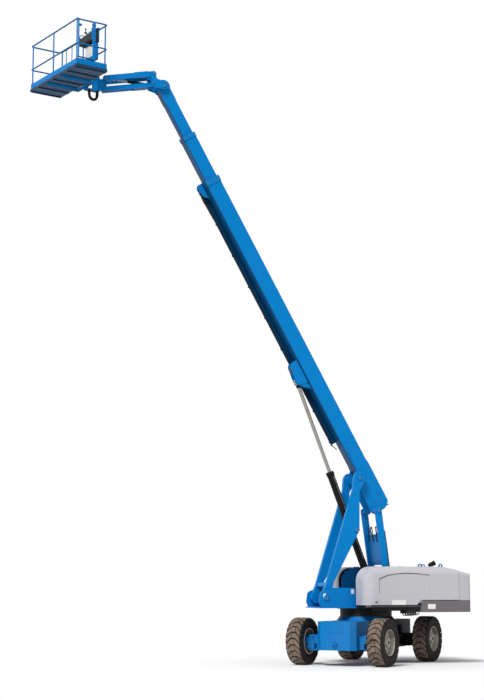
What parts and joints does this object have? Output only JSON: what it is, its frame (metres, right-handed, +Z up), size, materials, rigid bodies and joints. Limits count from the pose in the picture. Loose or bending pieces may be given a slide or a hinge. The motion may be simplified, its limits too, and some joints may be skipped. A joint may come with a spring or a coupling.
{
  "type": "telescopic boom lift",
  "caption": "Self-propelled telescopic boom lift: four-wheel chassis, slewing turntable, two-link boom mount, three-section boom, parallel-arm jib, rotating work platform.",
  "frame": {"origin": "on the ground, on the turntable's slewing axis", "axes": "+Z up, +X along the boom's plane towards the platform, +Y to the turntable's left"},
  "size_m": [10.8053, 4.5124, 15.23],
  "materials": {
    "ballast_paint": "satin",
    "black_paint": "semi-matte",
    "blue_paint": "satin",
    "cast_machinery": "matte",
    "chromed_rod": "polished",
    "console_plastic": "matte",
    "dark_blue_paint": "satin",
    "grey_cover": "satin",
    "hose_rubber": "matte",
    "rim_paint": "satin",
    "tyre_rubber": "matte"
  },
  "bodies": {
    "chassis": {"chassis_frame": "blue_paint", "front_axle": "dark_blue_paint", "rear_axle": "dark_blue_paint", "slew_ring": "dark_blue_paint"},
    "knuckle_left": {"knuckle_left": "dark_blue_paint"},
    "knuckle_right": {"knuckle_right": "dark_blue_paint"},
    "tie_rod": {"tie_rod": "black_paint"},
    "wheel_front_left": {"tyre_front_left": "tyre_rubber", "rim_front_left": "rim_paint"},
    "wheel_front_right": {"tyre_front_right": "tyre_rubber", "rim_front_right": "rim_paint"},
    "wheel_rear_left": {"tyre_rear_left": "tyre_rubber", "rim_rear_left": "rim_paint"},
    "wheel_rear_right": {"tyre_rear_right": "tyre_rubber", "rim_rear_right": "rim_paint"},
    "turntable": {"turntable_frame": "blue_paint", "bulkhead_left": "blue_paint", "bulkhead_right": "blue_paint", "tray_left": "blue_paint", "tray_right": "blue_paint", "counterweight": "ballast_paint", "engine_block": "cast_machinery", "fuel_tank": "blue_paint", "hydraulic_tank": "blue_paint", "exhaust_pipe": "black_paint"},
    "hood_left": {"hood_left": "grey_cover"},
    "hood_right": {"hood_right": "grey_cover"},
    "front_link": {"front_link": "blue_paint"},
    "rear_link": {"rear_link": "blue_paint"},
    "lift_barrel": {"lift_cylinder_barrel": "black_paint"},
    "lift_rod": {"lift_cylinder_rod": "chromed_rod"},
    "boom_base": {"boom_base": "blue_paint", "hose_tray": "black_paint"},
    "boom_mid": {"boom_mid": "blue_paint"},
    "boom_tip": {"boom_tip": "blue_paint"},
    "jib_bracket": {"jib_bracket": "blue_paint"},
    "jib_upper_arm": {"jib_upper_arm": "blue_paint"},
    "jib_lower_arm": {"jib_lower_arm": "blue_paint"},
    "jib_barrel": {"jib_cylinder_barrel": "black_paint"},
    "jib_rod": {"jib_cylinder_rod": "chromed_rod"},
    "platform_bracket": {"platform_bracket": "blue_paint"},
    "platform": {"platform_support": "blue_paint", "platform_floor": "dark_blue_paint", "platform_rails": "blue_paint", "control_console": "console_plastic", "hose_loop": "hose_rubber"},
    "gate": {"platform_gate": "blue_paint"}
  },
  "joints": [
    {"name": "slew", "type": "hinge", "parent": "chassis", "child": "turntable", "pos_m": [0, 0, 1.345], "axis": [0, 0, 1], "continuous": true},
    {"name": "steer_left", "type": "hinge", "parent": "chassis", "child": "knuckle_left", "pos_m": [0.48225, 1.56047, 0.49], "axis": [0, 0, 1], "range_deg": [-35, 35]},
    {"name": "steer_right", "type": "hinge", "parent": "chassis", "child": "knuckle_right", "pos_m": [1.57178, 0.44399, 0.49], "axis": [0, 0, 1], "range_deg": [-36, 36]},
    {"name": "tie_rod_pivot", "type": "hinge", "parent": "knuckle_left", "child": "tie_rod", "pos_m": [0.31765, 1.39983, 0.48], "axis": [0, 0, 1], "range_deg": [-36, 36]},
    {"name": "spin_front_left", "type": "hinge", "parent": "knuckle_left", "child": "wheel_front_left", "pos_m": [0.29368, 1.7537, 0.5625], "axis": [-0.6984, 0.7157, 0], "continuous": true},
    {"name": "spin_front_right", "type": "hinge", "parent": "knuckle_right", "child": "wheel_front_right", "pos_m": [1.76035, 0.25075, 0.5625], "axis": [-0.6984, 0.7157, 0], "continuous": true},
    {"name": "spin_rear_left", "type": "hinge", "parent": "chassis", "child": "wheel_rear_left", "pos_m": [-1.76035, -0.25075, 0.5625], "axis": [-0.6984, 0.7157, 0], "continuous": true},
    {"name": "spin_rear_right", "type": "hinge", "parent": "chassis", "child": "wheel_rear_right", "pos_m": [-0.29368, -1.7537, 0.5625], "axis": [-0.6984, 0.7157, 0], "continuous": true},
    {"name": "hood_left_hinge", "type": "hinge", "parent": "turntable", "child": "hood_left", "pos_m": [-0.5, 0.584, 2.347], "axis": [1, 0, 0], "range_deg": [0, 55]},
    {"name": "hood_right_hinge", "type": "hinge", "parent": "turntable", "child": "hood_right", "pos_m": [-0.5, -0.584, 2.347], "axis": [-1, 0, 0], "range_deg": [0, 55]},
    {"name": "boom_lift", "type": "hinge", "parent": "turntable", "child": "front_link", "pos_m": [1.21, 0, 1.58], "axis": [0, 1, 0], "range_deg": [-58, 3.8]},
    {"name": "boom_fold", "type": "hinge", "parent": "front_link", "child": "boom_base", "pos_m": [0.27781, 0, 4.53652], "axis": [0, -1, 0], "range_deg": [-119.2, 8]},
    {"name": "rear_link_pivot", "type": "hinge", "parent": "boom_base", "child": "rear_link", "pos_m": [-0.17306, 0, 3.72313], "axis": [0, 1, 0], "range_deg": [-140.55, 9.4]},
    {"name": "lift_barrel_pivot", "type": "hinge", "parent": "front_link", "child": "lift_barrel", "pos_m": [0.38007, 0, 3.24458], "axis": [0, -1, 0], "range_deg": [-112.68, 7.57]},
    {"name": "lift_rod_slide", "type": "slide", "parent": "lift_barrel", "child": "lift_rod", "axis": [0.3569, 0, 0.9341], "range_m": [-2.2164, 0.148]},
    {"name": "boom_extend", "type": "slide", "parent": "boom_base", "child": "boom_mid", "axis": [0.4848, 0, 0.8746], "range_m": [-0.95, 5.5]},
    {"name": "tip_extend", "type": "slide", "parent": "boom_mid", "child": "boom_tip", "axis": [0.4848, 0, 0.8746], "range_m": [-0.96, 5.51]},
    {"name": "jib_level", "type": "hinge", "parent": "boom_tip", "child": "jib_bracket", "pos_m": [5.33046, 0, 14.19835], "axis": [0, 1, 0], "range_deg": [-61.2, 4.2]},
    {"name": "jib_lift", "type": "hinge", "parent": "jib_bracket", "child": "jib_upper_arm", "pos_m": [5.60046, 0, 14.49035], "axis": [0, -1, 0], "range_deg": [-46, 80]},
    {"name": "jib_lower_pivot", "type": "hinge", "parent": "jib_bracket", "child": "jib_lower_arm", "pos_m": [5.60046, 0, 14.24035], "axis": [0, -1, 0], "range_deg": [-46.2, 80.2]},
    {"name": "platform_level", "type": "hinge", "parent": "jib_upper_arm", "child": "platform_bracket", "pos_m": [6.80082, 0, 14.26137], "axis": [0, -1, 0], "range_deg": [-80.2, 46.2]},
    {"name": "jib_barrel_pivot", "type": "hinge", "parent": "jib_bracket", "child": "jib_barrel", "pos_m": [5.60046, 0, 14.24035], "axis": [0, -1, 0], "range_deg": [-42.45, 73.67]},
    {"name": "jib_rod_slide", "type": "slide", "parent": "jib_barrel", "child": "jib_rod", "axis": [0.9976, 0, 0.0688], "range_m": [-0.169, 0.2924]},
    {"name": "platform_rotate", "type": "hinge", "parent": "platform_bracket", "child": "platform", "pos_m": [7.01582, 0, 14.11137], "axis": [0, 0, 1], "range_deg": [-97, 63]},
    {"name": "gate_swing", "type": "hinge", "parent": "platform", "child": "gate", "pos_m": [7.34067, 1.35037, 14.645], "axis": [0, 0, -1], "range_deg": [0, 80]}
  ],
  "couplings": [
    {"joint": "boom_fold", "follows": "boom_lift", "ratio": 2.0517},
    {"joint": "rear_link_pivot", "follows": "boom_lift", "ratio": 2.4198},
    {"joint": "lift_barrel_pivot", "follows": "boom_lift", "ratio": 1.9393},
    {"joint": "lift_rod_slide", "follows": "boom_lift", "m_per_rad": 2.1865},
    {"joint": "jib_level", "follows": "boom_lift", "ratio": 1.0517},
    {"joint": "tip_extend", "follows": "boom_extend", "ratio": 1},
    {"joint": "jib_lower_pivot", "follows": "jib_lift", "ratio": 1},
    {"joint": "platform_level", "follows": "jib_lift", "ratio": -1},
    {"joint": "jib_barrel_pivot", "follows": "jib_lift", "ratio": 0.9184},
    {"joint": "jib_rod_slide", "follows": "jib_lift", "m_per_rad": 0.208},
    {"joint": "steer_right", "follows": "steer_left", "ratio": 1},
    {"joint": "tie_rod_pivot", "follows": "steer_left", "ratio": -1}
  ]
}
